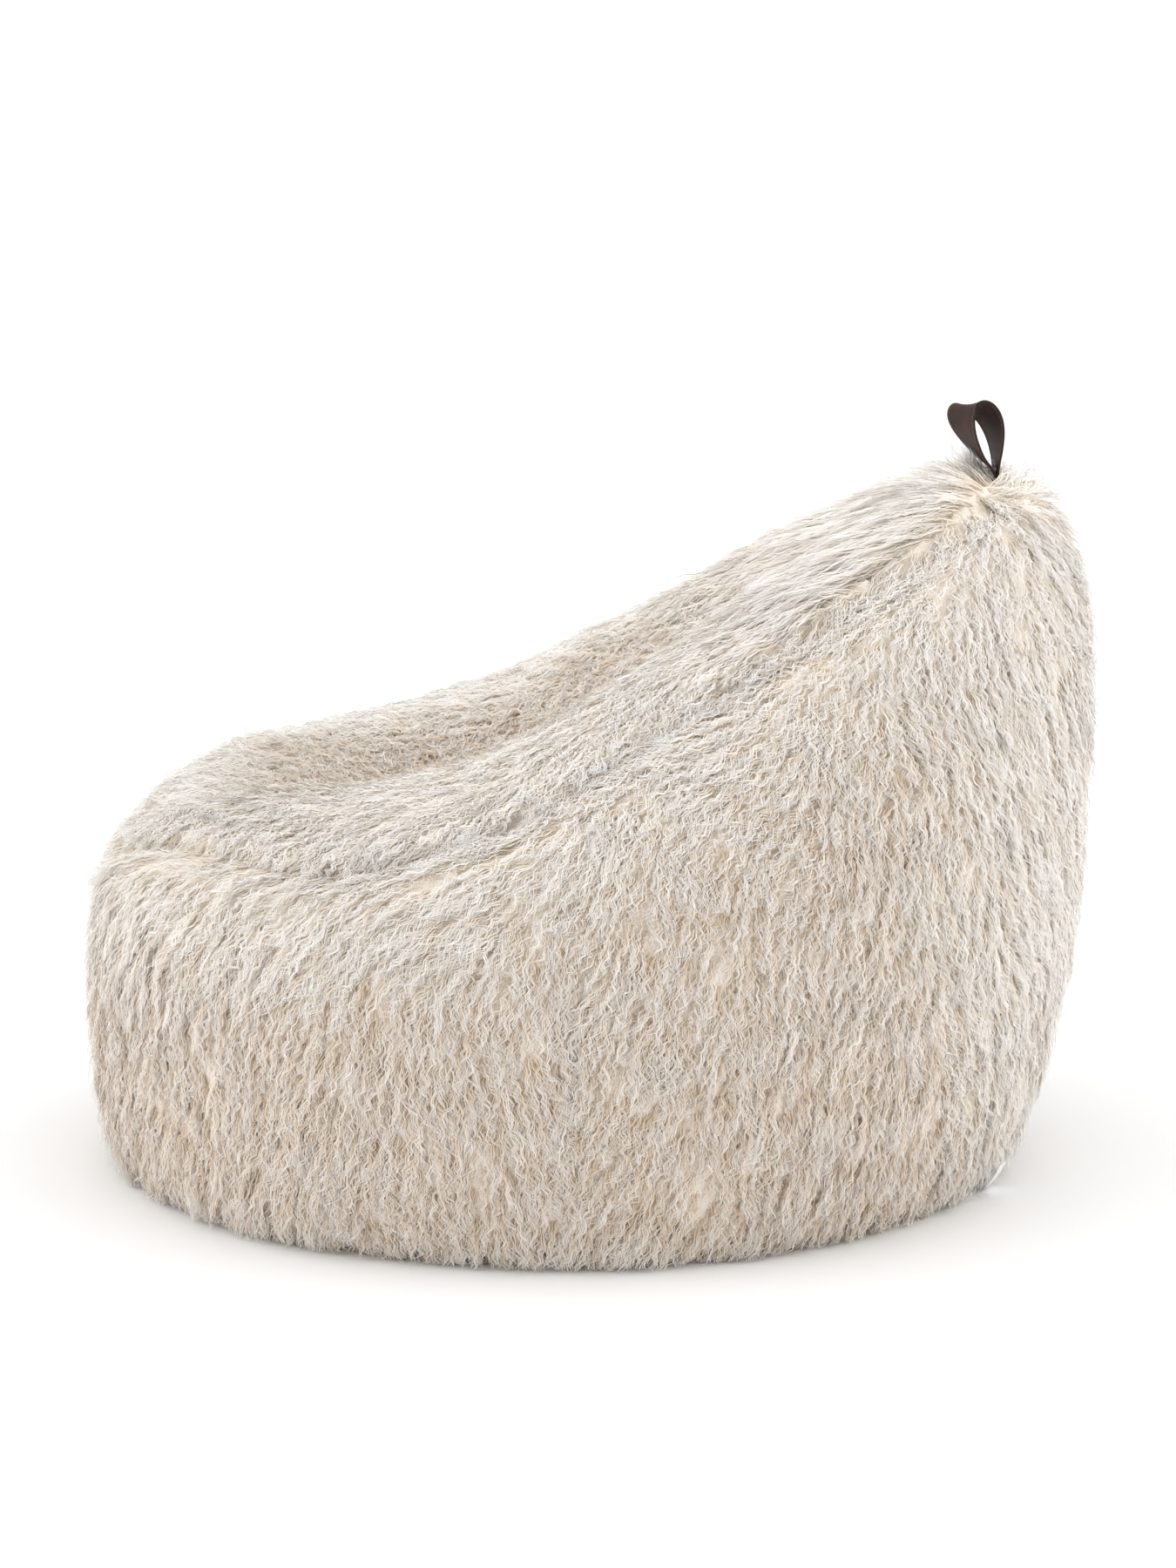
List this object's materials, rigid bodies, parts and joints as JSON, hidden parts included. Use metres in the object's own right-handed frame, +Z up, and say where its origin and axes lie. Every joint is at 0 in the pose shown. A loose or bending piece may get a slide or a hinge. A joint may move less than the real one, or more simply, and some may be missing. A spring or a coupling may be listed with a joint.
{
  "type": "bean bag chair",
  "caption": "Round floor seat of long-pile fur with a sunken hollow, a raised backrest and a looped carrying strap, filled with beads through zipped bases.",
  "frame": {"origin": "middle of the base, on the floor", "axes": "+Z up, the seat faces -Y and the backrest with its strap is at +Y, +X is the sitter's left"},
  "size_m": [0.8903, 0.9773, 0.7399],
  "materials": {
    "fur": "long soft pile, cream with tan roots",
    "base_fabric": "plain weave",
    "liner_fabric": "thin plain weave",
    "zip_tape": "woven tape",
    "zip_teeth": "moulded",
    "zip_metal": "satin",
    "strap_leather": "smooth, fine grain",
    "thread": "twisted thread",
    "label_fabric": "satin ribbon, bare",
    "beads": "small foam beads"
  },
  "bodies": {
    "bag": {"seat_panel": "fur", "front_wall_panel": "fur", "back_wall_panel": "fur", "base_panel_front": "base_fabric", "base_panel_back": "base_fabric", "base_zip_tape_front": "zip_tape", "base_zip_tape_back": "zip_tape", "base_zip_teeth_front": "zip_teeth", "base_zip_teeth_back": "zip_teeth", "base_zip_stops": "zip_metal", "liner_top": "liner_fabric", "liner_front_wall": "liner_fabric", "liner_back_wall": "liner_fabric", "liner_base_front": "liner_fabric", "liner_base_back": "liner_fabric", "liner_zip_tape_front": "zip_tape", "liner_zip_tape_back": "zip_tape", "liner_zip_teeth_front": "zip_teeth", "liner_zip_teeth_back": "zip_teeth", "liner_zip_stops": "zip_metal", "bead_fill": "beads", "handle_anchor_patch": "strap_leather"},
    "handle": {"handle_strap": "strap_leather", "handle_stitching": "thread"},
    "base_slider": {"base_zip_slider": "zip_metal"},
    "base_pull": {"base_zip_pull": "zip_metal"},
    "liner_slider": {"liner_zip_slider": "zip_metal"},
    "label": {"care_label": "label_fabric"}
  },
  "joints": [
    {"name": "handle_flop", "type": "hinge", "parent": "bag", "child": "handle", "pos_m": [0, 0.409, 0.66495], "axis": [1, 0, 0], "range_deg": [-12, 18]},
    {"name": "base_zip_slide", "type": "slide", "parent": "bag", "child": "base_slider", "axis": [1, 0, 0], "range_m": [0, 0.45]},
    {"name": "base_pull_swing", "type": "hinge", "parent": "base_slider", "child": "base_pull", "pos_m": [-0.227, 0.15, 0.00575], "axis": [0, -1, 0], "range_deg": [0, 170]},
    {"name": "liner_zip_slide", "type": "slide", "parent": "bag", "child": "liner_slider", "axis": [1, 0, 0], "range_m": [0, 0.45]},
    {"name": "label_flip", "type": "hinge", "parent": "bag", "child": "label", "pos_m": [0.14839, 0.4005, 0.0015], "axis": [-0.9292, 0.3697, 0], "range_deg": [0, 45]}
  ]
}
